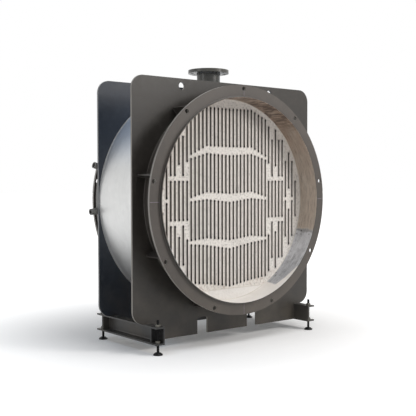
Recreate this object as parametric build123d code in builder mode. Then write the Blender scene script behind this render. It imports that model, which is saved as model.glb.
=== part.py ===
from build123d import *
import math
import os

# Flat-tube heat exchanger on a levelled frame: a round shell between two rounded plates,
# a flanged duct neck ahead of the front plate and another behind the rear one, and between
# the necks' tube sheets 128 flat tubes in a wavy pattern. Millimetres, +Z up, -Y the front.
# The origin is on the floor under the middle of the whole.

# Flat tubes, outside sizes
tube_width = 13.4
tube_length = 190.4
tube_wall = 1.2
tube_projection = 2.0
tube_pitch = 23.4

# Middle group: rows that wave up to a crest and fall off to the group's ends
row_count = 4
end_column = 10
crest_column = 6
row_lift = {"middle": 10.0, "crest": 22.0, "end": 5.0}
row_gap = {"middle": 33.6, "crest": 26.6, "end": 9.6}

# Side groups: tubes in each column and the gap from one to the next
side_columns = {11: (3, 80.6), 12: (3, 15.6), 13: (3, 66.6), 14: (3, 15.6), 15: (3, 15.6),
                16: (2, 11.6), 17: (2, 96.6), 18: (2, 11.6), 19: (1, 0.0)}

# Tube sheets
sheet_thickness = 12.0
sheet_ahead_of_plate = 14.0
sheet_edge = 11.0
chord_below_tubes = 6.8

# Duct necks and ring flanges
neck_wall = 5.0
front_standoff = 120.0
rear_standoff = 64.0
lip_length = 12.0
ring_width = 54.0
ring_thickness = 12.0
ring_hole_count = 9
ring_hole_diameter = 22.0
ring_hole_from_rim = 17.0
ring_first_hole = 90.0
seat_clearance = 0.3

# Ribs between the front ring and the front plate
rib_thickness = 8.0
rib_inside_rim = 5.0
rib_snipe = 12.0
rib_angle_past_hole = 2.8

# Shell
shell_beyond_neck = 58.0
shell_wall = 5.0

# Plates
plate_beside_shell = 5.0
plate_above_shell = 17.0
plate_thickness = 10.0
plate_gap = 272.0
plate_corner_radius = 60.0
lifting_hole_diameter = 34.0
lifting_hole_from_side = 275.0
lifting_hole_drop = 34.0
fork_notch_width = 62.0
fork_notch_height = 78.0
fork_notch_offset = 156.0
fork_notch_radius = 12.0

# Header band behind the rear plate and its screwed couplings
band_length = 32.0
band_wall = 5.0
band_end_thickness = 6.0
coupling_diameter = 30.0
coupling_bore = 22.0
couplings = {"lower": (-5.2, 41.0), "upper": (16.6, 44.0)}

# What the shell's and band's holes leave inside each branch for its root weld
branch_land = 2.0

# Water nozzle on top
nozzle_pipe_diameter = 114.3
nozzle_pipe_wall = 4.5
nozzle_above_shell = 92.0
nozzle_flange_diameter = 200.0
nozzle_flange_thickness = 16.0
nozzle_hole_count = 8
nozzle_hole_diameter = 19.0
nozzle_hole_from_rim = 17.5

# Channel beams, webs towards the middle
beam_length = 500.0
beam_ahead_of_plate = 104.0
beam_inside_plate_side = 54.0
beam_height = 80.0
beam_flange_width = 45.0
beam_flange_thickness = 7.0
beam_web_thickness = 6.0
beam_root_radius = 6.0
beam_below_shell = 4.0
stiffener_thickness = 6.0
stiffener_from_stud = 28.0
stiffener_setback = 4.0

# Levelling feet
foot_height = 46.0
stud_diameter = 12.0
stud_from_beam_end = 20.0
stud_above_beam = 30.0
pad_diameter = 42.0
pad_edge_height = 5.0
pad_top_diameter = 22.0
pad_height = 12.0
nut_across_flats = 19.0
nut_height = 10.0


def wave(column, values):
    """Value at a column of the middle group, straight from middle to crest to end."""
    column = abs(column)
    if column <= crest_column:
        share = column / crest_column
        return values["middle"] + share * (values["crest"] - values["middle"])
    share = (column - crest_column) / (end_column - crest_column)
    return values["crest"] + share * (values["end"] - values["crest"])


def row_centres(row):
    """Centres of one row of the middle group, row 0 on top, measured from the tube axis."""
    steps = (row_count - 1) / 2 - row
    return [(column * tube_pitch,
             wave(column, row_lift) + steps * (tube_length + wave(column, row_gap)))
            for column in range(-end_column, end_column + 1)]


def side_centres(side):
    """Centres of the tubes beside the middle group, on the left (-1) or the right (1)."""
    return [(side * column * tube_pitch, (place - (count - 1) / 2) * (tube_length + gap))
            for column, (count, gap) in side_columns.items() for place in range(count)]


tube_groups = {
    "upper_tubes": row_centres(0),
    "upper_middle_tubes": row_centres(1),
    "lower_middle_tubes": row_centres(2),
    "lower_tubes": row_centres(3),
    "left_side_tubes": side_centres(-1),
    "right_side_tubes": side_centres(1),
}
all_tube_centres = [centre for group in tube_groups.values() for centre in group]

# Radii that follow, from the outermost corner of the tubes out to the shell
tube_field_radius = max(math.hypot(abs(x) + tube_width / 2, abs(z) + tube_length / 2)
                        for x, z in all_tube_centres)
neck_radius = math.ceil(tube_field_radius + sheet_edge + neck_wall)
sheet_radius = neck_radius - neck_wall - seat_clearance
sheet_chord_drop = chord_below_tubes + max(tube_length / 2 - z for x, z in all_tube_centres)
ring_radius = neck_radius + ring_width
ring_hole_circle_radius = ring_radius - ring_hole_from_rim
shell_radius = neck_radius + shell_beyond_neck

# Heights and widths that follow
beam_top = foot_height + beam_height
tube_axis_height = beam_top + beam_below_shell + shell_radius
plate_top = tube_axis_height + shell_radius + plate_above_shell
plate_width = 2 * (shell_radius + plate_beside_shell)
beam_web_face = plate_width / 2 - beam_inside_plate_side - beam_flange_width
stud_x = beam_web_face + beam_flange_width / 2
nozzle_flange_top = tube_axis_height + shell_radius + nozzle_above_shell
nozzle_pipe_radius = nozzle_pipe_diameter / 2
nozzle_bore_radius = nozzle_pipe_radius - nozzle_pipe_wall
nozzle_flange_radius = nozzle_flange_diameter / 2

# Depths that follow, with the origin under the middle from the front lip to the rear pads
pad_past_beam = max(0, pad_diameter / 2 - stud_from_beam_end)
overall_depth = (lip_length + front_standoff + beam_length - beam_ahead_of_plate
                 + pad_past_beam)
front_lip_y = -overall_depth / 2
front_ring_y = front_lip_y + lip_length
front_plate_y = front_ring_y + front_standoff
rear_plate_y = front_plate_y + plate_thickness + plate_gap
rear_face_y = rear_plate_y + plate_thickness
rear_ring_y = rear_face_y + rear_standoff - ring_thickness
rear_lip_y = rear_face_y + rear_standoff + lip_length
middle_y = (front_plate_y + rear_face_y) / 2
beam_front_y = front_plate_y - beam_ahead_of_plate
front_sheet_y = front_plate_y - sheet_ahead_of_plate
rear_sheet_y = rear_face_y + sheet_ahead_of_plate - sheet_thickness
tube_front_y = front_sheet_y - tube_projection
tube_run = rear_sheet_y + sheet_thickness + tube_projection - tube_front_y
stud_ys = {"front": beam_front_y + stud_from_beam_end,
           "rear": beam_front_y + beam_length - stud_from_beam_end}
tube_axis = Axis((0, 0, tube_axis_height), (0, 1, 0))

os.makedirs("parts", exist_ok=True)


def facing(y, z=tube_axis_height):
    """Upright plane at depth y, seen from the front: local x is X and local y is Z."""
    return Plane(origin=(0, y, z), x_dir=(1, 0, 0), z_dir=(0, -1, 0))


def save(part, name):
    part.label = name
    export_step(part, f"parts/{name}.step")


# Front and rear plates: rounded corners, a tongue down between the beams with two notches,
# the neck's hole and two lifting holes
plate_height = plate_top - beam_top
lifting_hole_x = plate_width / 2 - lifting_hole_from_side
lifting_hole_height = plate_top - lifting_hole_drop
for name, y in (("front_plate", front_plate_y), ("rear_plate", rear_plate_y)):
    with BuildPart() as plate:
        with BuildSketch(facing(y, 0)):
            with Locations((0, beam_top + plate_height / 2)):
                RectangleRounded(plate_width, plate_height, plate_corner_radius)
            with Locations((0, foot_height)):
                Rectangle(2 * beam_web_face, beam_height + plate_corner_radius,
                          align=(Align.CENTER, Align.MIN))
            with Locations((0, tube_axis_height)):
                Circle(neck_radius + seat_clearance, mode=Mode.SUBTRACT)
            with Locations((-lifting_hole_x, lifting_hole_height), (lifting_hole_x, lifting_hole_height)):
                Circle(lifting_hole_diameter / 2, mode=Mode.SUBTRACT)
            with Locations((-fork_notch_offset, foot_height), (fork_notch_offset, foot_height)):
                Rectangle(fork_notch_width, 2 * fork_notch_height, mode=Mode.SUBTRACT)
        extrude(amount=-plate_thickness)
        notch_tops = plate.edges().filter_by(Axis.Y).filter_by(
            lambda edge: abs(edge.center().Z - foot_height - fork_notch_height) < 1)
        fillet(notch_tops, radius=fork_notch_radius)
    save(plate.part, name)

# Shell between the plates, with the nozzle's hole
with BuildPart() as shell:
    with BuildSketch(facing(front_plate_y + plate_thickness)):
        Circle(shell_radius)
        Circle(shell_radius - shell_wall, mode=Mode.SUBTRACT)
    extrude(amount=-plate_gap)
    with BuildSketch(Plane(origin=(0, middle_y, tube_axis_height))):
        Circle(nozzle_bore_radius - branch_land)
    extrude(amount=shell_radius + shell_wall, mode=Mode.SUBTRACT)
save(shell.part, "shell")

# Duct necks: the front one runs from its lip to the front plate's inner face
neck_runs = {"front_neck": (front_lip_y, front_plate_y + plate_thickness),
             "rear_neck": (rear_plate_y, rear_lip_y)}
for name, (start_y, end_y) in neck_runs.items():
    with BuildPart() as neck:
        with BuildSketch(facing(start_y)):
            Circle(neck_radius)
            Circle(neck_radius - neck_wall, mode=Mode.SUBTRACT)
        extrude(amount=start_y - end_y)
    save(neck.part, name)

# Ring flanges round the necks, with a hole at twelve o'clock
for end, y in (("front", front_ring_y), ("rear", rear_ring_y)):
    with BuildPart() as ring:
        with BuildSketch(facing(y)):
            Circle(ring_radius)
            Circle(neck_radius + seat_clearance, mode=Mode.SUBTRACT)
            with PolarLocations(ring_hole_circle_radius, ring_hole_count,
                                start_angle=ring_first_hole):
                Circle(ring_hole_diameter / 2, mode=Mode.SUBTRACT)
        extrude(amount=-ring_thickness)
    save(ring.part, f"{end}_ring_flange")

# Ribs that stay the front ring from the front plate, one just past each bolt hole
rib_run = front_plate_y - front_ring_y - ring_thickness
rib_outer_radius = ring_radius - rib_inside_rim
with BuildPart() as front_ribs:
    for place in range(ring_hole_count):
        angle = ring_first_hole - rib_angle_past_hole - place * 360 / ring_hole_count
        outward = (math.cos(math.radians(angle)), 0, math.sin(math.radians(angle)))
        across = (math.sin(math.radians(angle)), 0, -math.cos(math.radians(angle)))
        with BuildSketch(Plane(origin=(0, front_plate_y, tube_axis_height), x_dir=outward,
                               z_dir=across)):
            with BuildLine():
                Polyline((neck_radius, rib_snipe), (neck_radius + rib_snipe, 0),
                         (rib_outer_radius, 0), (rib_outer_radius, rib_run),
                         (neck_radius + rib_snipe, rib_run),
                         (neck_radius, rib_run - rib_snipe), close=True)
            make_face()
        extrude(amount=rib_thickness / 2, both=True)
save(front_ribs.part, "front_ribs")

# Tube sheets in the necks, in two pieces that meet on a chord below the tubes
for end, y in (("front", front_sheet_y), ("rear", rear_sheet_y)):
    with BuildPart() as sheet:
        with BuildSketch(facing(y)):
            Circle(sheet_radius)
            with Locations((0, -sheet_chord_drop)):
                Rectangle(2 * sheet_radius, sheet_radius, align=(Align.CENTER, Align.MAX),
                          mode=Mode.SUBTRACT)
            with Locations(*all_tube_centres):
                Rectangle(tube_width, tube_length, mode=Mode.SUBTRACT)
        extrude(amount=-sheet_thickness)
    save(sheet.part, f"{end}_tube_sheet")

    with BuildPart() as segment:
        with BuildSketch(facing(y)):
            Circle(sheet_radius)
            with Locations((0, -sheet_chord_drop)):
                Rectangle(2 * sheet_radius, 2 * sheet_radius, align=(Align.CENTER, Align.MIN),
                          mode=Mode.SUBTRACT)
        extrude(amount=-sheet_thickness)
    save(segment.part, f"{end}_sheet_segment")

# Flat tubes through both sheets, standing a little proud of them
for name, centres in tube_groups.items():
    with BuildPart() as tubes:
        with BuildSketch(facing(tube_front_y)):
            with Locations(*centres):
                Rectangle(tube_width, tube_length)
                Rectangle(tube_width - 2 * tube_wall, tube_length - 2 * tube_wall,
                          mode=Mode.SUBTRACT)
        extrude(amount=-tube_run)
    save(tubes.part, name)

# Header band behind the rear plate: an angle ring round the rear neck, open under each coupling
band_middle_y = rear_face_y + band_length / 2


def coupling_plane(angle, side, radius):
    """Plane square to the band at an angle above the horizontal, on the left or the right."""
    outward = (side * math.cos(math.radians(angle)), 0, math.sin(math.radians(angle)))
    return Plane(origin=(radius * outward[0], band_middle_y,
                         tube_axis_height + radius * outward[2]),
                 x_dir=(0, 1, 0), z_dir=outward)


with BuildPart() as rear_band:
    with BuildSketch(Plane(origin=(0, 0, tube_axis_height), x_dir=(0, 1, 0), z_dir=(1, 0, 0))):
        with Locations((rear_face_y, ring_radius)):
            Rectangle(band_length, band_wall, align=(Align.MIN, Align.MAX))
        with Locations((rear_face_y + band_length, ring_radius)):
            Rectangle(band_end_thickness, ring_radius - neck_radius - seat_clearance,
                      align=(Align.MAX, Align.MAX))
    revolve(axis=tube_axis)
    for angle, reach in couplings.values():
        for side in (-1, 1):
            with BuildSketch(coupling_plane(angle, side, ring_radius)):
                Circle(coupling_bore / 2 - branch_land)
            extrude(amount=2 * band_wall, both=True, mode=Mode.SUBTRACT)
save(rear_band.part, "rear_header_band")

with BuildPart() as header_couplings:
    for angle, reach in couplings.values():
        for side in (-1, 1):
            with BuildSketch(coupling_plane(angle, side, ring_radius)):
                Circle(coupling_diameter / 2)
                Circle(coupling_bore / 2, mode=Mode.SUBTRACT)
            extrude(amount=reach)
save(header_couplings.part, "header_couplings")

# Nozzle: a pipe saddled on the shell and a slip-on flange with eight holes
with BuildPart() as nozzle_pipe:
    with BuildSketch(Plane(origin=(0, middle_y, tube_axis_height))):
        Circle(nozzle_pipe_radius)
        Circle(nozzle_bore_radius, mode=Mode.SUBTRACT)
    extrude(amount=nozzle_flange_top - tube_axis_height)
    with BuildSketch(facing(middle_y)):
        Circle(shell_radius)
    extrude(amount=nozzle_pipe_diameter, both=True, mode=Mode.SUBTRACT)
save(nozzle_pipe.part, "nozzle_pipe")

with BuildPart() as nozzle_flange:
    with BuildSketch(Plane(origin=(0, middle_y, nozzle_flange_top - nozzle_flange_thickness))):
        Circle(nozzle_flange_radius)
        Circle(nozzle_pipe_radius + seat_clearance, mode=Mode.SUBTRACT)
        with PolarLocations(nozzle_flange_radius - nozzle_hole_from_rim, nozzle_hole_count,
                            start_angle=180 / nozzle_hole_count):
            Circle(nozzle_hole_diameter / 2, mode=Mode.SUBTRACT)
    extrude(amount=nozzle_flange_thickness)
save(nozzle_flange.part, "nozzle_flange")

# Channel beams with stud holes through both flanges
inside_height = beam_height - 2 * beam_flange_thickness
flange_reach = beam_flange_width - beam_web_thickness
web_x = beam_web_face + beam_web_thickness
for side, side_name in ((-1, "left"), (1, "right")):
    with BuildPart() as beam:
        with BuildSketch(facing(beam_front_y, foot_height)) as section:
            with Locations((side * stud_x, 0)):
                Rectangle(beam_flange_width, beam_height, align=(Align.CENTER, Align.MIN))
            with Locations((side * (web_x + flange_reach), beam_height / 2)):
                Rectangle(2 * flange_reach, inside_height, mode=Mode.SUBTRACT)
            roots = section.vertices().filter_by(lambda corner: abs(abs(corner.X) - web_x) < 1)
            fillet(roots, radius=beam_root_radius)
        extrude(amount=-beam_length)
        with BuildSketch(Plane.XY.offset(foot_height)):
            with Locations(*[(side * stud_x, y) for y in stud_ys.values()]):
                Circle(stud_diameter / 2 + seat_clearance)
        extrude(amount=beam_height, mode=Mode.SUBTRACT)
    save(beam.part, f"{side_name}_beam")

# Stiffeners across the open side of each beam, one inward of each stud
stiffener_width = flange_reach - stiffener_setback
with BuildPart() as beam_stiffeners:
    for y in (stud_ys["front"] + stiffener_from_stud, stud_ys["rear"] - stiffener_from_stud):
        with BuildSketch(facing(y, foot_height + beam_height / 2)) as outline:
            for side in (-1, 1):
                with Locations((side * (web_x + stiffener_width / 2), 0)):
                    Rectangle(stiffener_width, inside_height)
            roots = outline.vertices().filter_by(lambda corner: abs(abs(corner.X) - web_x) < 1)
            chamfer(roots, length=beam_root_radius)
        extrude(amount=stiffener_thickness / 2, both=True)
save(beam_stiffeners.part, "beam_stiffeners")

# Levelling feet: a coned pad, a stud up through both flanges, and a nut on each flange
foot_places = [(side * stud_x, y) for side in (-1, 1) for y in stud_ys.values()]

with BuildPart() as foot_pads:
    for x, y in foot_places:
        with BuildSketch(Plane(origin=(x, y, 0), x_dir=(1, 0, 0), z_dir=(0, -1, 0))):
            with BuildLine():
                Polyline((0, 0), (pad_diameter / 2, 0), (pad_diameter / 2, pad_edge_height),
                         (pad_top_diameter / 2, pad_height), (0, pad_height), close=True)
            make_face()
        revolve(axis=Axis((x, y, 0), (0, 0, 1)))
save(foot_pads.part, "foot_pads")

with BuildPart() as foot_studs:
    with BuildSketch(Plane.XY.offset(pad_height)):
        with Locations(*foot_places):
            Circle(stud_diameter / 2)
    extrude(amount=beam_top + stud_above_beam - pad_height)
save(foot_studs.part, "foot_studs")

with BuildPart() as stud_nuts:
    for seat in (foot_height + beam_flange_thickness, beam_top):
        with BuildSketch(Plane.XY.offset(seat)):
            with Locations(*foot_places):
                RegularPolygon(nut_across_flats / 2, 6, major_radius=False)
                Circle(stud_diameter / 2 + seat_clearance, mode=Mode.SUBTRACT)
        extrude(amount=nut_height)
save(stud_nuts.part, "stud_nuts")
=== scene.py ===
import math
import bpy
import numpy as np
from mathutils import Matrix, Vector


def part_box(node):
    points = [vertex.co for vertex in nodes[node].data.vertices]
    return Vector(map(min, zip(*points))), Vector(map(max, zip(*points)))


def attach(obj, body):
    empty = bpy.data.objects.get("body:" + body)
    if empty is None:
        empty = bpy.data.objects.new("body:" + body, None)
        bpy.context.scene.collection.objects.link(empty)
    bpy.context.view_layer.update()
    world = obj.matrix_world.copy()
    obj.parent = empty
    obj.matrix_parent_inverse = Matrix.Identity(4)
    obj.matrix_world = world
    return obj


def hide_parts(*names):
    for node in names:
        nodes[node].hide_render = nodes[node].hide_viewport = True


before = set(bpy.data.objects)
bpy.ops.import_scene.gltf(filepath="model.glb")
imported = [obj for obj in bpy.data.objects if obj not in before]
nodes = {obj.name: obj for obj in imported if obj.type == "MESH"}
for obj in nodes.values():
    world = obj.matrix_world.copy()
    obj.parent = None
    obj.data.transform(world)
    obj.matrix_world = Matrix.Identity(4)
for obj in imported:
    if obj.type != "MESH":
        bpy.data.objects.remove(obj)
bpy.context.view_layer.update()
scene = bpy.context.scene
print("frame loaded,", len(nodes), "nodes")

# Camera: where the picture was taken from, in metres and degrees
cameraUser = {
    "place": (-2.462, -3.036, 0.770),
    "yaw": 38.87,      # from +Y towards +X
    "pitch": -2.02,
    "roll": -0.09,
    "lens": 68.13,
    "sensor": 36,      # mm wide
    "farthest": 100,
}


def makeCamera(user):
    data = bpy.data.cameras.new("camera")
    data.lens = user["lens"]
    data.sensor_width = user["sensor"]
    data.clip_end = user["farthest"]
    camera = bpy.data.objects.new("camera", data)
    scene.collection.objects.link(camera)
    turn = Matrix.Rotation(math.radians(-user["yaw"]), 4, "Z")
    tilt = Matrix.Rotation(math.radians(90 + user["pitch"]), 4, "X")
    roll = Matrix.Rotation(math.radians(user["roll"]), 4, "Z")
    camera.matrix_world = Matrix.Translation(user["place"]) @ turn @ tilt @ roll
    scene.camera = camera


makeCamera(cameraUser)
print("camera placed")


# Sizes read from the frame, so that what is added sits on what carries it
def across(node):
    low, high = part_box(node)
    return high - low


def middle(node):
    low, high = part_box(node)
    return (low + high) / 2


axisZ = middle("front_ring_flange").z
ringRadius = across("front_ring_flange").x / 2
neckRadius = across("front_neck").x / 2
shellRadius = across("shell").x / 2
sheetRadius = across("front_tube_sheet").x / 2
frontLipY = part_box("front_neck")[0].y
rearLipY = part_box("rear_neck")[1].y
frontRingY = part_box("front_ring_flange")[0].y
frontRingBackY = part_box("front_ring_flange")[1].y
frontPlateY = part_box("front_plate")[0].y
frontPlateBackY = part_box("front_plate")[1].y
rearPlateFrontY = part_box("rear_plate")[0].y
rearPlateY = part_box("rear_plate")[1].y
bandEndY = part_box("rear_header_band")[1].y
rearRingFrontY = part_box("rear_ring_flange")[0].y
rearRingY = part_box("rear_ring_flange")[1].y
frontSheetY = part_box("front_tube_sheet")[0].y
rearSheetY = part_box("rear_tube_sheet")[1].y
sheetThickness = across("front_tube_sheet").y
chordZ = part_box("front_tube_sheet")[0].z
nozzle = middle("nozzle_pipe")
pipeRadius = across("nozzle_pipe").x / 2
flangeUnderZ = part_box("nozzle_flange")[0].z
neckWall = neckRadius - sheetRadius
bandMiddleY = (rearPlateY + bandEndY) / 2
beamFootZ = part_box("left_beam")[0].z
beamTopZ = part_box("left_beam")[1].z
stiffenerHalf = 0.003      # half a stiffener's thickness
stiffenerYs = (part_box("beam_stiffeners")[0].y + stiffenerHalf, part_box("beam_stiffeners")[1].y - stiffenerHalf)


# Shader maths: a wire is one socket, and a sum written with wires adds Math nodes
class Wire:
    def __init__(self, finish, socket):
        self.finish = finish
        self.socket = socket

    def __add__(self, other):
        return self.finish.sum("ADD", self, other)

    def __radd__(self, other):
        return self.finish.sum("ADD", other, self)

    def __sub__(self, other):
        return self.finish.sum("SUBTRACT", self, other)

    def __rsub__(self, other):
        return self.finish.sum("SUBTRACT", other, self)

    def __mul__(self, other):
        return self.finish.sum("MULTIPLY", self, other)

    def __abs__(self):
        return self.finish.sum("ABSOLUTE", self)

    def ramp(self, low, high):  # 0 at low, 1 at high, smooth between; low may be the larger
        return self.finish.node("ShaderNodeMapRange", {"interpolation_type": "SMOOTHSTEP"},
                                {"Value": self, "From Min": low, "From Max": high})


class Finish:  # one material, or the world, made node by node
    def __init__(self, name, world=None):
        self.material = world or bpy.data.materials.new(name)
        self.material.use_nodes = True
        self.tree = self.material.node_tree
        self.tree.nodes.clear()
        self.out = self.node("ShaderNodeOutputWorld" if world else "ShaderNodeOutputMaterial", out=None)
        self.place = self.node("ShaderNodeTexCoord", out="Object")
        split = self.node("ShaderNodeSeparateXYZ", values={"Vector": self.place}, out=None)
        self.x, self.y, self.z = (Wire(self, s) for s in split.outputs)

    def node(self, kind, settings=None, values=None, out=0):
        made = self.tree.nodes.new(kind)
        for key, value in (settings or {}).items():
            setattr(made, key, value)
        for key, value in (values or {}).items():
            socket = made.inputs[key]
            if isinstance(value, Wire):
                self.tree.links.new(value.socket, socket)
            elif socket.type == "RGBA" and len(value) == 3:
                socket.default_value = (*value, 1)
            else:
                socket.default_value = value
        return made if out is None else Wire(self, made.outputs[out])

    def sum(self, operation, *terms):
        return self.node("ShaderNodeMath", {"operation": operation}, dict(enumerate(terms)))

    def noise(self, scale, detail=4.0, rough=0.5, at=None, stretch=None):  # scale is in lumps a metre
        at = at or self.place
        if stretch:
            at = self.node("ShaderNodeVectorMath", {"operation": "MULTIPLY"}, {0: at, 1: stretch})
        return self.node("ShaderNodeTexNoise", None,
                         {"Vector": at, "Scale": scale, "Detail": detail, "Roughness": rough})

    def cells(self, scale, out="Distance"):
        return self.node("ShaderNodeTexVoronoi", None, {"Vector": self.place, "Scale": scale}, out)

    def blend(self, share, first, second):  # colours, by a wire or a number
        return self.node("ShaderNodeMix", {"data_type": "RGBA"}, {0: share, 6: first, 7: second}, 2)

    def turning(self):  # the turn round the tubes' axis, in radians
        return self.node("ShaderNodeMath", {"operation": "ARCTAN2"}, {0: self.z - axisZ, 1: self.x})

    def outward(self):  # the distance out from the tubes' axis
        up = self.z - axisZ
        return self.node("ShaderNodeMath", {"operation": "SQRT"}, {0: self.x * self.x + up * up})

    def bump(self, height, strength, distance, under=None):
        values = {"Height": height, "Strength": strength, "Distance": distance}
        if under:
            values["Normal"] = under
        return self.node("ShaderNodeBump", None, values)

    def seenRays(self):  # 1 for what the camera sees itself, mirrored or through something
        rays = self.node("ShaderNodeLightPath", out=None)
        camera, glossy, through = (Wire(self, rays.outputs[f"Is {kind} Ray"])
                                   for kind in ("Camera", "Glossy", "Transmission"))
        return self.sum("MAXIMUM", self.sum("MAXIMUM", camera, glossy), through)

    def shown(self, shader):
        self.tree.links.new(shader.socket, self.out.inputs["Surface"])
        return self.material

    def finished(self, **sockets):
        names = {key.replace("_", " "): value for key, value in sockets.items()}
        return self.shown(self.node("ShaderNodeBsdfPrincipled", None, names))


def tone(red, green, blue):  # a colour as a picture shows it, 0 to 255, made linear
    return tuple(((c / 255 + 0.055) / 1.055) ** 2.4 if c > 10 else c / 3295 for c in (red, green, blue))


# Satin paint of the plates, rings, nozzle and beams: uneven film, dust, scuffs, small chips, and a painted
# highlight on the narrow sides of the plates and rings
paintUser = {
    # edge: the colour of the painted highlight on the narrow sides
    "platePaint": {"colour": tone(46, 43, 40), "worn": tone(74, 70, 65), "edge": tone(168, 163, 156),
                   "rough": 0.38},
    # The rear plate's paint is tinted blue as a painted reflection of the sky
    "rearPlatePaintedReflection": {"colour": tone(38, 44, 53), "worn": tone(66, 71, 80), "edge": tone(150, 150, 150),
                  "rough": 0.36},
    "ribPaint": {"colour": tone(46, 43, 40), "worn": tone(80, 77, 73), "rough": 0.38},
    "ringPaint": {"colour": tone(74, 69, 65), "worn": tone(100, 93, 87), "edge": tone(168, 164, 158),
                  "rough": 0.42},
    "nozzlePaint": {"colour": tone(54, 55, 52), "worn": tone(118, 112, 102), "rough": 0.24},
    "bandPaint": {"colour": tone(112, 111, 108), "worn": tone(150, 147, 141), "rough": 0.40},
    "beamPaint": {"colour": tone(42, 42, 43), "worn": tone(78, 77, 76), "rough": 0.30},
}
wearUser = {
    "film": 0.35, "mottle": 0.22, "scuff": 0.22,      # how far each takes the colour to the worn one
    "dust": tone(128, 120, 108), "dustShare": 0.25,
    "dustTop": 0.55,      # dust lies below this height
    "chip": tone(150, 144, 136), "chipShare": 0.55, "chipScale": 70.0,
    "edgeHighlightShare": 0.6,
    "mottleScale": 38.0, "mottleDepth": 0.002,
    "grainScale": 420.0, "grainDepth": 0.0004,
    "specular": 0.38,
}


def makePaint(name, user, wear):
    f = Finish(name)
    film = f.noise(2.2, 3.0)
    mottle = f.noise(wear["mottleScale"], 5.0, 0.6)
    grain = f.noise(wear["grainScale"], 3.0)
    scuff = f.noise(9.0, 6.0, 0.65, stretch=(1.0, 1.0, 0.25)).ramp(0.60, 0.76)
    dust = f.z.ramp(wear["dustTop"], 0.0) * f.noise(6.0, 4.0).ramp(0.35, 0.75)
    chips = f.cells(wear["chipScale"]).ramp(0.10, 0.05) * f.noise(5.0, 2.0).ramp(0.62, 0.72)
    share = film.ramp(0.30, 0.75) * wear["film"] + mottle.ramp(0.4, 0.8) * wear["mottle"]
    base = f.blend(share + scuff * wear["scuff"], user["colour"], user["worn"])
    base = f.blend(dust * wear["dustShare"], base, wear["dust"])
    base = f.blend(chips * wear["chipShare"], base, wear["chip"])
    if "edge" in user:     # painted highlight: the narrow sides, turned away from Y, are made lighter
        facing = f.node("ShaderNodeTexCoord", out="Normal")
        side = f.node("ShaderNodeSeparateXYZ", None, {0: facing}, "Y")
        base = f.blend(abs(side).ramp(0.8, 0.4) * wear["edgeHighlightShare"], base, user["edge"])
    rough = user["rough"] + mottle.ramp(0.3, 0.8) * 0.12 + scuff * 0.10 + dust * 0.12
    relief = f.bump(grain, 0.12, wear["grainDepth"])
    relief = f.bump(mottle, 0.05, wear["mottleDepth"], relief)
    return f.finished(Base_Color=base, Roughness=rough, Normal=relief,
                      Specular_IOR_Level=wear["specular"])


# Bright rolled sheet of the shell: fine grain round the shell, faint spangle, rain marks, and a painted blue sky
# reflection over its top
shellUser = {
    "colour": tone(206, 206, 205),
    "cool": tone(192, 193, 192), "coolShare": 0.35,
    "blue": tone(184, 200, 222), "skyReflectionShare": 0.75,
    "skyReflectionFrom": 0.80, "skyReflectionTo": 1.06,      # heights between which the painted blue sky reflection comes in
    "spangle": tone(160, 160, 160), "spangleShare": 0.10, "spangleScale": 46.0,
    "rough": 0.42, "metal": 0.82,
}


def makeShellSheet(name, user):
    f = Finish(name)
    grain = f.noise(14.0, 6.0, 0.6, stretch=(0.5, 16.0, 0.5))
    spangle = f.cells(user["spangleScale"], out="Color")
    tint = f.node("ShaderNodeRGBToBW", None, {"Color": spangle})
    marks = f.noise(3.0, 5.0, 0.6, stretch=(1.0, 2.5, 0.7))
    # Painted reflection: the sheet turns blue towards the top
    paintedSkyReflection = f.z.ramp(user["skyReflectionFrom"], user["skyReflectionTo"]) * user["skyReflectionShare"]
    base = f.blend(marks.ramp(0.35, 0.75) * user["coolShare"], user["colour"], user["cool"])
    base = f.blend(paintedSkyReflection, base, user["blue"])
    base = f.blend(tint * user["spangleShare"], base, user["spangle"])
    rough = user["rough"] + grain.ramp(0.3, 0.7) * 0.12 + tint * 0.06
    relief = f.bump(grain, 0.10, 0.0006, f.bump(marks, 0.10, 0.004))
    return f.finished(Base_Color=base, Metallic=user["metal"], Roughness=rough, Normal=relief)


# Pale coat of the tube sheets: gritty, dusty, a little rust along the lower edge
coatUser = {
    "colour": tone(234, 229, 223),
    "shade": tone(120, 114, 108), "gritShare": 0.46, "smearShare": 0.22,
    "rust": tone(150, 116, 92), "rustShare": 0.55,
    "rustFrom": -0.30, "rustTo": -0.43,      # heights about the tubes' axis
    "gritScale": 95.0, "gritDepth": 0.0010,
    "lumpScale": 60.0, "lumpDepth": 0.0012,
    "rough": 0.78,
    "dirty": 1.0,
}
segmentUser = {**coatUser, "colour": tone(238, 235, 231), "dirty": 0.2}


def makeCoat(name, user):
    f = Finish(name)
    out = f.outward()
    grit = f.noise(user["gritScale"], 5.0, 0.75)
    lumps = f.noise(user["lumpScale"], 4.0)
    smear = f.noise(7.0, 5.0, 0.6)
    share = grit.ramp(0.50, 0.62) * (user["gritShare"] * user["dirty"])
    share = share + smear.ramp(0.45, 0.8) * user["smearShare"]
    base = f.blend(share, user["colour"], user["shade"])
    low = (f.z - axisZ).ramp(user["rustFrom"], user["rustTo"]) * out.ramp(0.30, 0.46)
    rust = low * f.noise(24.0, 6.0, 0.7).ramp(0.48, 0.70)
    base = f.blend(rust * (user["rustShare"] * user["dirty"]), base, user["rust"])
    relief = f.bump(lumps, 0.22, user["lumpDepth"], f.bump(grit, 0.45, user["gritDepth"]))
    rough = user["rough"] - smear.ramp(0.3, 0.8) * 0.1
    return f.finished(Base_Color=base, Roughness=rough, Normal=relief)


# Flat tubes: coated at the mouth, with painted shade darkening them further in
tubeUser = {
    "mouth": tone(228, 222, 216), "deep": tone(66, 59, 53),
    "coated": 0.0048,      # depth from the mouth at which the coat has given way to the painted shade
    "proud": 0.002,        # how far the mouths stand out of the sheets
    "rough": 0.7,
}
# Darker still: painted shade for the round ends of the mouths
tubeShadeUser = {**tubeUser, "mouth": tone(60, 52, 46), "deep": tone(16, 14, 13)}


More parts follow.
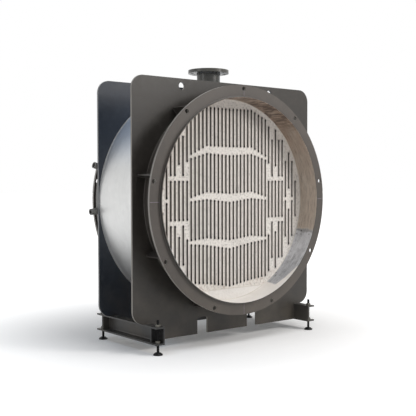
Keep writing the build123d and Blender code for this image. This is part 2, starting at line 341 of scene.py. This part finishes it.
def makeTubeSteel(name, user):
    f = Finish(name)
    fromFront = f.y - (frontSheetY - user["proud"])
    fromRear = (rearSheetY + user["proud"]) - f.y
    inside = f.node("ShaderNodeMath", {"operation": "MINIMUM"}, {0: fromFront, 1: fromRear})
    # Painted shade: darker deeper in from each mouth
    soot = inside.ramp(0.0, user["coated"]) + f.noise(30.0, 4.0).ramp(0.4, 0.8) * 0.15
    base = f.blend(soot, user["mouth"], user["deep"])
    relief = f.bump(f.noise(200.0), 0.2, 0.0005)
    return f.finished(Base_Color=base, Roughness=user["rough"], Normal=relief)


# Duct necks: painted outside, and inside bare rolled steel, brown at the sides and top,
# a blue-grey patch low on each side, and a pale cream band along the bottom, laid out by angle round the axis
neckUser = {
    "paint": tone(58, 54, 50), "paintWorn": tone(84, 79, 73),
    "brown": tone(168, 147, 129), "pale": tone(210, 200, 188),
    "soot": tone(70, 52, 44), "lineShare": 0.52, "dripShare": 0.85,
    "patch": tone(222, 224, 228), "patchDark": tone(104, 107, 114),
    "pit": tone(84, 82, 80), "pitShare": 0.85, "pitScale": 44.0,
    "coat": tone(226, 222, 217), "coatShade": tone(204, 199, 192),
    # angles are in degrees above the horizontal
    "paleFrom": 60.0, "paleTo": 5.0,      # paler from the top down to the side
    "sootFrom": 36.0, "sootTo": 62.0,
    "patchFrom": -18.0, "patchBlur": 2.0,
    "patchDarkFrom": -28.0, "patchDarkTo": -50.0,
    "coatFrom": -60.0, "coatBlur": 0.8,
    "coatAtLip": 16.0,      # the coat climbs by this towards the lip
    "coatLipDepth": 0.050,
    "waver": 5.0,           # how much the borders wander
    "insideFrom": 0.0045, "insideBlur": 0.0003,      # depths under the outer face
    "lineScale": (2.4, 190.0, 8.0),       # round, along and out
    "dripScale": (22.0, 7.0, 8.0),
    "rough": 0.42,
}


def makeNeckSteel(name, user):
    f = Finish(name)
    turn, out = f.turning(), f.outward()
    side = f.node("ShaderNodeMath", {"operation": "ARCTAN2"}, {0: f.z - axisZ, 1: abs(f.x)})
    angle = side * (180 / math.pi) + (f.noise(16.0, 4.0) - 0.5) * user["waver"]
    fromLip = f.node("ShaderNodeMath", {"operation": "MINIMUM"}, {0: f.y - frontLipY, 1: rearLipY - f.y})
    inner = neckRadius - user["insideFrom"]
    within = out.ramp(inner + user["insideBlur"], inner - user["insideBlur"])
    roundPlace, deepPlace = (
        f.node("ShaderNodeCombineXYZ", None, {0: turn * scale[0], 1: f.y * scale[1], 2: out * scale[2]})
        for scale in (user["lineScale"], user["dripScale"]))
    rolled = f.noise(2.6, 6.0, 0.65, at=roundPlace)
    dripped = f.noise(2.2, 6.0, 0.6, at=deepPlace)
    blot = f.noise(11.0, 5.0, 0.6)
    paler = angle.ramp(user["paleFrom"], user["paleTo"]) * 0.65 + blot.ramp(0.45, 0.8) * 0.35
    steel = f.blend(paler, user["brown"], user["pale"])
    steel = f.blend(rolled.ramp(0.50, 0.57) * user["lineShare"], steel, user["soot"])
    drips = angle.ramp(user["sootFrom"], user["sootTo"]) * dripped.ramp(0.42, 0.58)
    steel = f.blend(drips * user["dripShare"], steel, user["soot"])
    patch = angle.ramp(user["patchFrom"], user["patchFrom"] - user["patchBlur"])
    wipe = f.noise(3.0, 5.0, 0.6, at=roundPlace)
    mottle = f.noise(26.0, 5.0, 0.65).ramp(0.46, 0.66) * 0.26
    darker = mottle + angle.ramp(user["patchDarkFrom"], user["patchDarkTo"]) * 0.30
    grey = f.blend(wipe.ramp(0.40, 0.62) * 0.35 + darker, user["patch"], user["patchDark"])
    pits = f.cells(user["pitScale"]).ramp(0.26, 0.10) * f.noise(12.0, 3.0).ramp(0.48, 0.56)
    edge = angle.ramp(user["patchFrom"] - 3.5, user["patchFrom"] - user["patchBlur"]) * patch
    grey = f.blend(pits * user["pitShare"] + edge * 0.5, grey, user["pit"])
    steel = f.blend(patch, steel, grey)
    coatEdge = angle - fromLip.ramp(user["coatLipDepth"], 0.0) * user["coatAtLip"]
    coat = coatEdge.ramp(user["coatFrom"] + user["coatBlur"], user["coatFrom"] - user["coatBlur"])
    steel = f.blend(coat, steel, f.blend(blot.ramp(0.4, 0.8) * 0.4, user["coat"], user["coatShade"]))
    outside = f.blend(blot.ramp(0.3, 0.8) * 0.3, user["paint"], user["paintWorn"])
    base = f.blend(within, outside, steel)
    metal = within * (1 - coat) * (0.25 + patch * 0.35)
    rough = user["rough"] + within * coat * 0.30 + rolled.ramp(0.3, 0.7) * 0.10
    relief = f.bump(rolled, 0.08, 0.001, f.bump(f.noise(300.0), 0.10, 0.0004))
    return f.finished(Base_Color=base, Metallic=metal, Roughness=rough, Normal=relief)


# Black feet: turned pads, zinc-black studs and nuts
footUser = {
    "colour": tone(30, 30, 31), "edge": tone(74, 73, 72), "bright": tone(176, 172, 162),
    "rough": 0.40, "metal": 0.6,
    "nutBright": 0.35,      # how far the nuts go to the bright colour
}


def makeFootSteel(name, user, bright=0.0):
    f = Finish(name)
    wear = f.noise(90.0, 5.0, 0.6).ramp(0.5, 0.8)
    turned = f.noise(60.0, 3.0, stretch=(1.0, 1.0, 20.0))
    base = f.blend(wear * 0.5, user["colour"], user["edge"])
    base = f.blend(bright + wear * 0.1 * bright, base, user["bright"])
    return f.finished(Base_Color=base, Metallic=user["metal"], Roughness=user["rough"] + wear * 0.2,
                      Normal=f.bump(turned, 0.15, 0.0004))


# Weld metal, painted over: spattered, lighter on its crown
weldUser = {
    "darkWeld": {"colour": tone(70, 66, 62), "crown": tone(110, 104, 97)},
    "paleWeld": {"colour": tone(212, 206, 198), "crown": tone(228, 223, 216)},
    "jointWeld": {"colour": tone(112, 104, 112), "crown": tone(150, 143, 140)},
    "shellWeld": {"colour": tone(150, 150, 150), "crown": tone(196, 196, 195)},
}


def makeWeldPaint(name, user):
    f = Finish(name)
    spatter = f.noise(240.0, 4.0, 0.6)
    base = f.blend(spatter.ramp(0.45, 0.75) * 0.6, user["colour"], user["crown"])
    relief = f.bump(spatter, 0.25, 0.0006)
    return f.finished(Base_Color=base, Roughness=0.45 + spatter * 0.15, Normal=relief)


finishes = {name: makePaint(name, user, wearUser) for name, user in paintUser.items()}
finishes |= {name: makeWeldPaint(name, user) for name, user in weldUser.items()}
finishes["shellSheet"] = makeShellSheet("shellSheet", shellUser)
finishes["sheetCoat"] = makeCoat("sheetCoat", coatUser)
finishes["segmentCoat"] = makeCoat("segmentCoat", segmentUser)
finishes["tubeSteel"] = makeTubeSteel("tubeSteel", tubeUser)
finishes["tubePaintedShade"] = makeTubeSteel("tubePaintedShade", tubeShadeUser)
finishes["neckSteel"] = makeNeckSteel("neckSteel", neckUser)
finishes["footSteel"] = makeFootSteel("footSteel", footUser)
finishes["nutSteel"] = makeFootSteel("nutSteel", footUser, footUser["nutBright"])
print("finishes made:", len(finishes))

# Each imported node's own finish
finishNodes = {
    "platePaint": ["front_plate"],
    "rearPlatePaintedReflection": ["rear_plate"],
    "ribPaint": ["front_ribs"],
    "bandPaint": ["rear_header_band", "header_couplings"],
    "nozzlePaint": ["nozzle_pipe", "nozzle_flange"],
    "ringPaint": ["front_ring_flange", "rear_ring_flange"],
    "shellSheet": ["shell"],
    "neckSteel": ["front_neck", "rear_neck"],
    "sheetCoat": ["front_tube_sheet", "rear_tube_sheet"],
    "segmentCoat": ["front_sheet_segment", "rear_sheet_segment"],
    "tubeSteel": ["upper_tubes", "upper_middle_tubes", "lower_middle_tubes", "lower_tubes",
                  "left_side_tubes", "right_side_tubes"],
    "beamPaint": ["left_beam", "right_beam", "beam_stiffeners"],
    "footSteel": ["foot_pads", "foot_studs"],
    "nutSteel": ["stud_nuts"],
}
for finish, names in finishNodes.items():
    for name in names:
        materials = nodes[name].data.materials
        if not materials:
            materials.append(finishes[finish])
        for place in range(len(materials)):
            materials[place] = finishes[finish]


# Pieces made here: a mesh from points and faces, its finish and its body
def addPiece(name, points, faces, finish, slot, smooth=True):
    mesh = bpy.data.meshes.new(name)
    mesh.from_pydata([tuple(p) for p in points], [], faces)
    mesh.validate()
    mesh.materials.append(finishes[finish])
    mesh.polygons.foreach_set("use_smooth", [smooth] * len(mesh.polygons))
    piece = bpy.data.objects.new(name, mesh)
    scene.collection.objects.link(piece)
    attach(piece, "root")
    return piece


def beadAlong(path, radius, closed=False, ripple=0.10, seed=1):
    # A weld bead: a bar of six sides along the path, whose thickness runs in ripples 5.5 mm apart
    sides, spacing = 6, 0.0055
    rng = np.random.default_rng(seed)
    path = np.asarray(path, float)
    ahead = np.roll(path, -1, 0) - path
    behind = path - np.roll(path, 1, 0)
    along = ahead + behind
    if not closed:
        along[0] = ahead[0]
        along[-1] = behind[-1]
    along /= np.linalg.norm(along, axis=1)[:, None]
    run = np.concatenate([[0], np.cumsum(np.linalg.norm(np.diff(path, axis=0), axis=1))])
    normal = np.zeros_like(path)
    start = np.array((0.0, 1.0, 0.0)) if abs(along[0][1]) < 0.8 else np.array((0.0, 0.0, 1.0))
    normal[0] = start - along[0] * (start @ along[0])
    for i in range(1, len(path)):
        normal[i] = normal[i - 1] - along[i] * (normal[i - 1] @ along[i])
    normal /= np.linalg.norm(normal, axis=1)[:, None]
    other = np.cross(along, normal)
    wavy = 1 + ripple * np.sin(run / spacing * 2 * math.pi) + rng.normal(0, ripple * 0.5, len(path))
    turns = np.arange(sides) / sides * 2 * math.pi
    ring = (np.cos(turns)[None, :, None] * normal[:, None] + np.sin(turns)[None, :, None] * other[:, None])
    points = path[:, None] + radius * wavy[:, None, None] * ring
    count = len(path)
    faces = [(i * sides + j, i * sides + (j + 1) % sides,
              (i + 1) % count * sides + (j + 1) % sides, (i + 1) % count * sides + j)
             for i in range(count if closed else count - 1) for j in range(sides)]
    if not closed:
        faces.append(tuple(range(sides))[::-1])
        faces.append(tuple((count - 1) * sides + j for j in range(sides)))
    return points.reshape(-1, 3), faces


def joined(parts):
    points, faces, shift = [], [], 0
    for more, these in parts:
        points.extend(more)
        faces.extend(tuple(i + shift for i in face) for face in these)
        shift += len(more)
    return points, faces


beadStep = 0.0022      # between the points along a bead


def circlePath(radius, y):
    count = int(2 * math.pi * radius / beadStep)
    turns = np.radians(np.linspace(0, 360, count, endpoint=False))
    return [(radius * math.cos(t), y, axisZ + radius * math.sin(t)) for t in turns]


def straightPath(a, b, step=beadStep):
    a, b = Vector(a), Vector(b)
    count = max(3, int((b - a).length / step))
    return [a.lerp(b, i / (count - 1)) for i in range(count)]


# Flat tubes and their sheets, with the round slot ends that the frame leaves square
tubeFieldUser = {
    "pitch": 0.0234, "width": 0.0134, "length": 0.1904, "wall": 0.0012,
    "rows": 4, "endColumn": 10, "crestColumn": 6,
    "lift": (0.010, 0.022, 0.005),        # at the middle, at the crests, at the ends
    "gap": (0.0336, 0.0266, 0.0096),
    "sideColumns": {11: (3, 0.0806), 12: (3, 0.0156), 13: (3, 0.0666), 14: (3, 0.0156), 15: (3, 0.0156),
                    16: (2, 0.0116), 17: (2, 0.0966), 18: (2, 0.0116), 19: (1, 0.0)},
    "endSteps": 6,       # facets round each slot end
    "paintedShadeEnd": 0.006,    # how far the painted shade of each mouth's end runs along its flats
    "bead": 0.0026,      # seal weld's leg on the sheet
    "swell": 0.0013,     # how far its swell stands out of the sheet
    "unevenness": 0.0005,
    "hair": 0.0001,      # what keeps two faces from falling in one place
    "outlineSteps": 181,
}


def tubeCentres(user):
    def wave(column, values):
        column, crest, end = abs(column), user["crestColumn"], user["endColumn"]
        if column <= crest:
            return values[0] + (values[1] - values[0]) * column / crest
        return values[1] + (values[2] - values[1]) * (column - crest) / (end - crest)

    centres = []
    for row in range(user["rows"]):
        rowsUp = (user["rows"] - 1) / 2 - row
        for column in range(-user["endColumn"], user["endColumn"] + 1):
            up = wave(column, user["lift"]) + rowsUp * (user["length"] + wave(column, user["gap"]))
            centres.append((column * user["pitch"], up))
    for side in (-1, 1):
        for column, (count, gap) in user["sideColumns"].items():
            for place in range(count):
                up = (place - (count - 1) / 2) * (user["length"] + gap)
                centres.append((side * column * user["pitch"], up))
    return centres


def slotLoop(width, length, steps, dark=0.0):  # round-ended outline, about its own middle
    radius, straight = width / 2, length / 2 - width / 2
    loop = []
    for half, sign in ((0, 1), (1, -1)):
        turns = [math.pi * (half + i / steps) for i in range(steps + 1)]
        arc = [(radius * math.cos(t), sign * straight + radius * math.sin(t)) for t in turns]
        if dark:      # one more point on each flat, where the painted shade of the end begins
            flat = sign * (straight - dark)
            arc = [(sign * radius, flat)] + arc + [(-sign * radius, flat)]
        loop += arc
    return loop


def makeTubes(user):
    rng = np.random.default_rng(7)
    outer, inner, foot, swell = (
        np.array(slotLoop(user["width"] + wider, user["length"] + wider, user["endSteps"], user["paintedShadeEnd"]))
        for wider in (0, -2 * user["wall"], 2 * user["bead"], 1.1 * user["bead"]))
    count, hair, swellOut = len(outer), user["hair"], user["swell"]
    flats = (count // 2 - 1, count - 1)      # all but these two sides of a mouth get the painted shade
    shades = []
    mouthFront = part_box("upper_tubes")[0].y
    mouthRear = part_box("upper_tubes")[1].y
    points, faces = [], []
    for x, up in tubeCentres(user):
        first = len(points)
        lump = rng.normal(0, user["unevenness"], (4, count))
        # front foot, front swell, front rim out and in, rear rim in and out, rear swell, rear foot
        rings = [(foot, frontSheetY - hair, lump[0]), (swell, frontSheetY - swellOut, lump[1]),
                 (outer, mouthFront + hair, None), (inner, mouthFront + 3 * hair, None),
                 (inner, mouthRear - 3 * hair, None), (outer, mouthRear - hair, None),
                 (swell, rearSheetY + swellOut, lump[2]), (foot, rearSheetY + hair, lump[3])]
        for loop, y, uneven in rings:
            grow = 1 if uneven is None else 1 + uneven[:, None] / user["width"] * (1, 0.05)
            for px, pz in loop * grow:
                points.append((x + px, y, axisZ + up + pz))
        for ring in range(len(rings) - 1):
            for i in range(count):
                j = (i + 1) % count
                a, b = first + ring * count, first + (ring + 1) * count
                faces.append((a + i, a + j, b + j, b + i))
                shades.append(1 if ring == 3 and i not in flats else 0)
        a, b = first + (len(rings) - 1) * count, first     # the tube's outside, sheet to sheet
        for i in range(count):
            j = (i + 1) % count
            faces.append((a + i, a + j, b + j, b + i))
            shades.append(0)
    tubes = addPiece("flat_tubes", points, faces, "tubeSteel", "pale_coat")
    # The second finish paints shade on the round ends of the mouths
    tubes.data.materials.append(finishes["tubePaintedShade"])
    tubes.data.polygons.foreach_set("material_index", shades)
    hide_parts("upper_tubes", "upper_middle_tubes", "lower_middle_tubes", "lower_tubes",
                "left_side_tubes", "right_side_tubes")


def makeSheet(name, node, low, high, user):
    # Outline with its chord, and a slot round each tube, filled between and made thick
    half = math.asin((axisZ - chordZ) / sheetRadius)
    turns = np.linspace(-half, math.pi + half, user["outlineSteps"])
    outline = [(sheetRadius * math.cos(t), sheetRadius * math.sin(t)) for t in turns]
    tight = 4 * user["hair"]      # the tubes' walls reach past the slots' edges by half of this
    slot = slotLoop(user["width"] - tight, user["length"] - tight, user["endSteps"])
    loops = [outline] + [[(x + px, up + pz) for px, pz in slot] for x, up in tubeCentres(user)]
    curve = bpy.data.curves.new(name, "CURVE")
    curve.dimensions = "2D"
    curve.fill_mode = "BOTH"
    curve.extrude = (high - low) / 2
    for loop in loops:
        spline = curve.splines.new("POLY")
        spline.points.add(len(loop) - 1)
        spline.use_cyclic_u = True
        for point, (px, pz) in zip(spline.points, loop):
            point.co = (px, pz, 0, 1)
    holder = bpy.data.objects.new(name + "Outline", curve)
    scene.collection.objects.link(holder)
    made = bpy.data.meshes.new_from_object(holder.evaluated_get(bpy.context.evaluated_depsgraph_get()))
    points = [(p.co.x, (low + high) / 2 - p.co.z, axisZ + p.co.y) for p in made.vertices]
    faces = [tuple(face.vertices) for face in made.polygons]
    bpy.data.objects.remove(holder)
    bpy.data.meshes.remove(made)
    sheet = addPiece(name, points, faces, "sheetCoat", "pale_coat", smooth=False)
    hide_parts(node)


makeTubes(tubeFieldUser)
makeSheet("front_slotted_sheet", "front_tube_sheet", frontSheetY, frontSheetY + sheetThickness, tubeFieldUser)
makeSheet("rear_slotted_sheet", "rear_tube_sheet", rearSheetY - sheetThickness, rearSheetY, tubeFieldUser)
print("tubes and sheets made")

# Round seams: where necks, rings, plates, shell and header band meet
seamUser = {"leg": 0.0035, "sheetLeg": 0.003, "chordLeg": 0.0016,
            "ripple": 0.10, "sheetRipple": 0.16, "chordRipple": 0.2,
            "inset": 0.001}      # what the chord's bead stops short of the neck


def makeRoundSeams(user):
    def rings(places, leg, ripple, seed):
        return [beadAlong(circlePath(radius, y), leg, closed=True, ripple=ripple, seed=seed + i)
                for i, (radius, y) in enumerate(places)]

    dark = [(neckRadius, frontRingY), (neckRadius, frontRingBackY), (neckRadius, frontPlateY),
            (neckRadius, rearRingY), (neckRadius, rearRingFrontY), (neckRadius, bandEndY),
            (ringRadius, rearPlateY)]
    addPiece("round_seams", *joined(rings(dark, user["leg"], user["ripple"], 0)), "darkWeld", "dark_paint")
    bright = [(shellRadius, frontPlateBackY), (shellRadius, rearPlateFrontY)]
    beads = rings(bright, user["leg"], user["ripple"], 20)
    addPiece("shell_seams", *joined(beads), "shellWeld", "shell_sheet")
    pale = [(neckRadius - neckWall, frontSheetY), (neckRadius - neckWall, rearSheetY)]
    beads = rings(pale, user["sheetLeg"], user["sheetRipple"], 30)
    half = math.sqrt(sheetRadius ** 2 - (axisZ - chordZ) ** 2) - user["inset"]
    for i, y in enumerate((frontSheetY, rearSheetY)):
        chord = straightPath((-half, y, chordZ), (half, y, chordZ))
        beads.append(beadAlong(chord, user["chordLeg"], ripple=user["chordRipple"], seed=40 + i))
    addPiece("sheet_seams", *joined(beads), "paleWeld", "pale_coat")


makeRoundSeams(seamUser)
print("round seams made")

# Small welds: across the rings where their segments join, round the ribs, the nozzle,
# the couplings, the beams' stiffeners and where the plates stand on the beams
smallWeldUser = {
    "ringJoint": 0.0016, "ribLeg": 0.0024, "nozzleLeg": 0.0036, "flangeLeg": 0.00288,
    "couplingLeg": 0.0024, "beamLeg": 0.00208,
    "ringJoints": (0, 90, 180, 270),      # degrees, anticlockwise from the right
    "jointDepth": 0.0006,                 # the joints' middles lie this deep under the rings' faces
    "jointStep": 0.0015,
    "inset": 0.001,                       # what beads stop short of an edge
    "boltCircle": 0.524, "boltHole": 0.0125,
    "ribs": 9, "ribTurn": 87.2, "ribHalf": 0.004, "ribTop": 0.534, "ribCut": 0.012,
    "ripple": 0.12, "jointRipple": 0.15,
    "couplings": (-5.2, 16.6),            # degrees above the horizontal
    "couplingRadius": 0.015, "bandRadius": 0.541,
    "nozzleSteps": 180, "couplingSteps": 45,
    # where beads on the beams run, as distances to each side of the middle
    "beamBack": 0.4508, "plateEdge": 0.4520, "beamWeb": 0.4575, "beamFlange": 0.4950,
    "stiffenerWeld": (0.4610, 0.4840),
    "stiffenerCorner": 0.012, "flangeThickness": 0.007,
}


def radial(radius, degrees, y, aside=0.0):
    turn = math.radians(degrees)
    return (radius * math.cos(turn) - aside * math.sin(turn), y,
            axisZ + radius * math.sin(turn) + aside * math.cos(turn))


def makeRingJoints(user):
    joints = []
    outerEnd = ringRadius - user["inset"]
    for y in (frontRingY + user["jointDepth"], rearRingY - user["jointDepth"]):
        for degrees in user["ringJoints"]:
            spans = [(neckRadius, outerEnd)]
            if degrees == 90:     # this joint runs into a bolt hole
                spans = [(neckRadius, user["boltCircle"] - user["boltHole"]),
                         (user["boltCircle"] + user["boltHole"], outerEnd)]
            for low, high in spans:
                path = straightPath(radial(low, degrees, y), radial(high, degrees, y), user["jointStep"])
                bead = beadAlong(path, user["ringJoint"], ripple=user["jointRipple"], seed=len(joints))
                joints.append(bead)
    addPiece("ring_joints", *joined(joints), "jointWeld", "ring_paint")


def makeRibWelds(user):
    ribs = []
    front, back = frontRingBackY + user["ribCut"], frontPlateY - user["ribCut"]
    low, high = neckRadius + user["ribCut"], user["ribTop"]
    runs = [((neckRadius, front), (neckRadius, back)), ((low, frontRingBackY), (high, frontRingBackY)),
            ((low, frontPlateY), (high, frontPlateY))]
    for rib in range(user["ribs"]):
        degrees = user["ribTurn"] - rib * 360 / user["ribs"]
        for aside in (-user["ribHalf"], user["ribHalf"]):
            for (fromOut, fromY), (toOut, toY) in runs:
                path = straightPath(radial(fromOut, degrees, fromY, aside),
                                    radial(toOut, degrees, toY, aside))
                ribs.append(beadAlong(path, user["ribLeg"], ripple=user["ripple"], seed=100 + len(ribs)))
    addPiece("rib_welds", *joined(ribs), "darkWeld", "dark_paint")


def makeNozzleWelds(user):
    saddle, under = [], []
    for turn in np.linspace(0, 2 * math.pi, user["nozzleSteps"], endpoint=False):
        x, y = pipeRadius * math.cos(turn), nozzle.y + pipeRadius * math.sin(turn)
        saddle.append((x, y, axisZ + math.sqrt(shellRadius ** 2 - x ** 2)))
        under.append((x, y, flangeUnderZ))
    beads = [beadAlong(saddle, user["nozzleLeg"], closed=True, seed=200),
             beadAlong(under, user["flangeLeg"], closed=True, seed=201)]
    addPiece("nozzle_welds", *joined(beads), "darkWeld", "dark_paint")


def makeCouplingWelds(user):
    collars = []
    radius = user["couplingRadius"]
    for degrees in user["couplings"]:
        for side in (-1, 1):
            out = Vector((side * math.cos(math.radians(degrees)), 0, math.sin(math.radians(degrees))))
            up = Vector((-out.z, 0, out.x))
            ring = []
            for turn in np.linspace(0, 2 * math.pi, user["couplingSteps"], endpoint=False):
                rise = radius * math.sin(turn)
                point = out * math.sqrt(user["bandRadius"] ** 2 - rise ** 2) + up * rise
                ring.append((point.x, bandMiddleY + radius * math.cos(turn), axisZ + point.z))
            collars.append(beadAlong(ring, user["couplingLeg"], closed=True, seed=300 + len(collars)))
    addPiece("coupling_welds", *joined(collars), "darkWeld", "dark_paint")


def makeBeamWelds(user):
    paths = []
    corner, flange, inset = user["stiffenerCorner"], user["flangeThickness"], user["inset"]

    def run(fromX, toX, y, fromZ, toZ):
        paths.append(straightPath((fromX, y, fromZ), (toX, y, toZ)))

    for side in (-1, 1):
        back, edge, web, tip = (side * user[name]
                                for name in ("beamBack", "plateEdge", "beamWeb", "beamFlange"))
        near, far = (side * x for x in user["stiffenerWeld"])
        for y in (frontPlateY, frontPlateBackY, rearPlateFrontY, rearPlateY):
            run(edge, tip, y, beamTopZ, beamTopZ)
            run(back, back, y, beamFootZ + 2 * inset, beamTopZ - inset)
        for middleY in stiffenerYs:
            for y in (middleY - stiffenerHalf, middleY + stiffenerHalf):
                run(web, web, y, beamFootZ + corner, beamTopZ - corner)
                for z in (beamFootZ + flange, beamTopZ - flange):
                    run(near, far, y, z, z)
    beads = [beadAlong(path, user["beamLeg"], ripple=user["ripple"], seed=400 + i)
             for i, path in enumerate(paths)]
    addPiece("beam_welds", *joined(beads), "darkWeld", "beam_paint")


makeRingJoints(smallWeldUser)
makeRibWelds(smallWeldUser)
makeNozzleWelds(smallWeldUser)
makeCouplingWelds(smallWeldUser)
makeBeamWelds(smallWeldUser)
print("small welds made")

# Feet: studs with their threads and nuts with chamfered corners
footPartUser = {
    "studRadius": 0.006, "studSides": 14,
    "pitch": 0.00175, "depth": 0.0009, "crestHalf": 0.12,      # half a crest's width, in pitches
    "lead": 0.6,         # how far a thread climbs in a turn, in pitches
    "nutFlats": 0.019, "nutHeight": 0.010, "nutSides": 24,
    "chamfer": 0.0012,
    "flatChamfer": 0.15,      # the chamfer's depth at the flats, as a share of that at the corners
    "washerFace": 0.97,       # of the width across flats
    "hair": 0.0001,
}


def threadedStud(x, y, low, high, user):
    points, faces, sides = [], [], user["studSides"]
    crest, root, pitch = user["studRadius"], user["studRadius"] - user["depth"], user["pitch"]
    levels = [(low, root)]
    crests = int((high - low) / pitch)
    for i in range(crests):
        z = low + (i + 0.5) * (high - low) / crests
        half = pitch * user["crestHalf"]
        levels += [(z - half, crest), (z + half, crest), (z + pitch * 0.5, root)]
    for z, radius in levels:
        for j in range(sides):
            turn = j / sides * 2 * math.pi
            lead = pitch * j / sides * user["lead"] if low < z < high - pitch else 0
            points.append((x + radius * math.cos(turn), y + radius * math.sin(turn), min(high, z + lead)))
    for i in range(len(levels) - 1):
        for j in range(sides):
            k = (j + 1) % sides
            faces.append((i * sides + j, i * sides + k, (i + 1) * sides + k, (i + 1) * sides + j))
    faces.append(tuple(range(sides))[::-1])
    faces.append(tuple((len(levels) - 1) * sides + j for j in range(sides)))
    return points, faces


def chamferedNut(x, y, low, high, user):
    flats, drop = user["nutFlats"] / 2, user["chamfer"]
    corner = flats / math.cos(math.pi / 6)
    hole = user["studRadius"] + user["hair"]
    shallow = user["flatChamfer"]
    washer = flats * user["washerFace"]
    points, faces, sides = [], [], user["nutSides"]
    # hole low, washer face low, corners low, corners high, washer face high, hole high
    rings = [(low, hole, 0), (low, washer, 0), (low, None, drop), (high, None, -drop),
             (high, washer, 0), (high, hole, 0)]
    for z, radius, corners in rings:
        for j in range(sides):
            turn = j / sides * 2 * math.pi
            reach, rise = radius, 0.0
            if radius is None:
                offset = (turn + math.pi / 6) % (math.pi / 3) - math.pi / 6
                reach = flats / math.cos(offset)
                rise = corners * (shallow + (1 - shallow) * (reach - flats) / (corner - flats))
            points.append((x + reach * math.cos(turn), y + reach * math.sin(turn), z + rise))
    for i in range(len(rings)):
        below, above = i, (i + 1) % len(rings)
        for j in range(sides):
            k = (j + 1) % sides
            faces.append((below * sides + j, below * sides + k, above * sides + k, above * sides + j))
    return points, faces


def makeFeet(user):
    low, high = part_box("foot_studs")
    nutLow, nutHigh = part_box("stud_nuts")
    studs, nuts = [], []
    for x in (low.x + user["studRadius"], high.x - user["studRadius"]):
        for y in (low.y + user["studRadius"], high.y - user["studRadius"]):
            studs.append(threadedStud(x, y, low.z, high.z, user))
            nuts.append(chamferedNut(x, y, nutLow.z, nutLow.z + user["nutHeight"], user))
            nuts.append(chamferedNut(x, y, nutHigh.z - user["nutHeight"], nutHigh.z, user))
    made = addPiece("threaded_studs", *joined(studs), "footSteel", "foot_steel", smooth=False)
    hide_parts("foot_studs")
    made = addPiece("hexagon_nuts", *joined(nuts), "nutSteel", "foot_steel", smooth=False)
    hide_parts("stud_nuts")


makeFeet(footPartUser)
print("feet made")

# Floor, backdrop and lamps
stageUser = {
    "floorColour": (0.90, 0.90, 0.90),
    "floorSize": 40,                # half its width
    "floorGlow": (0.08, 1.0),       # white that is only seen, near the exchanger and far from it; the lower near value paints shade round the exchanger
    "glowReach": (0.30, 2.3),       # distances from the middle for the near value and the far one
    "worldLight": 0.30,
    "white": (1, 1, 1),
    "lamps": {
        "overhead": {"place": (0.2, -1.4, 4.2), "aim": (0, 0, 0.7), "size": 2.2, "watts": 62,
                     "tint": (1, 1, 1)},
        "front": {"place": (1.45, -2.75, 2.35), "aim": (0, 0, 1.15), "size": 1.2, "watts": 50,
                  "tint": (1, 0.97, 0.94)},
        "left": {"place": (-4.2, 0.3, 1.3), "aim": (-0.4, 0, 0.5), "size": 1.6, "watts": 18,
                 "tint": (1, 0.99, 0.97)},
        "back": {"place": (-2.7, 3.3, 1.3), "aim": (-0.5, 0, 0.6), "size": 2.8, "watts": 5,
                 "tint": (1, 0.98, 0.94)},
        "sky": {"place": (-2.2, 0.2, 3.6), "aim": (-0.4, 0, 0.9), "size": 1.2, "watts": 11,
                "tint": (0.55, 0.75, 1)},
    },
}


def makeFloor(user):
    f = Finish("floorWhite")
    white = f.node("ShaderNodeBsdfDiffuse", None, {"Color": user["floorColour"]})
    distance = f.node("ShaderNodeVectorMath", {"operation": "LENGTH"}, {0: f.place}, "Value")
    near, far = (f.node("ShaderNodeEmission", None, {"Color": user["white"], "Strength": strength})
                 for strength in user["floorGlow"])
    # Less glow near the exchanger paints a darker floor round it, a painted shadow added to the cast one
    glow = f.node("ShaderNodeMixShader", None, {0: distance.ramp(*user["glowReach"]), 1: near, 2: far})
    both = f.node("ShaderNodeAddShader", None, {0: white, 1: glow})
    f.shown(f.node("ShaderNodeMixShader", None, {0: f.seenRays(), 1: white, 2: both}))
    size = user["floorSize"]
    mesh = bpy.data.meshes.new("floor")
    corners = [(x, y, 0) for x, y in ((-size, -size), (size, -size), (size, size), (-size, size))]
    mesh.from_pydata(corners, [], [(0, 1, 2, 3)])
    mesh.materials.append(f.material)
    floor = bpy.data.objects.new("floor", mesh)
    scene.collection.objects.link(floor)


def makeBackdrop(user):
    scene.world = bpy.data.worlds.new("world")
    w = Finish("world", scene.world)
    plain, seen = (w.node("ShaderNodeBackground", None, {"Color": user["white"], "Strength": strength})
                   for strength in (user["worldLight"], 1.0))
    w.shown(w.node("ShaderNodeMixShader", None, {0: w.seenRays(), 1: plain, 2: seen}))


def makeLamp(name, user):
    data = bpy.data.lights.new(name, "AREA")
    data.shape = "DISK"
    data.size = user["size"]
    data.energy = user["watts"]
    data.color = user["tint"]
    light = bpy.data.objects.new(name, data)
    scene.collection.objects.link(light)
    light.location = user["place"]
    aim = Vector(user["aim"]) - Vector(user["place"])
    light.rotation_euler = aim.to_track_quat("-Z", "Y").to_euler()


makeFloor(stageUser)
makeBackdrop(stageUser)
for name, lampUser in stageUser["lamps"].items():
    makeLamp(name, lampUser)
scene.view_settings.view_transform = "Standard"
print("stage set")
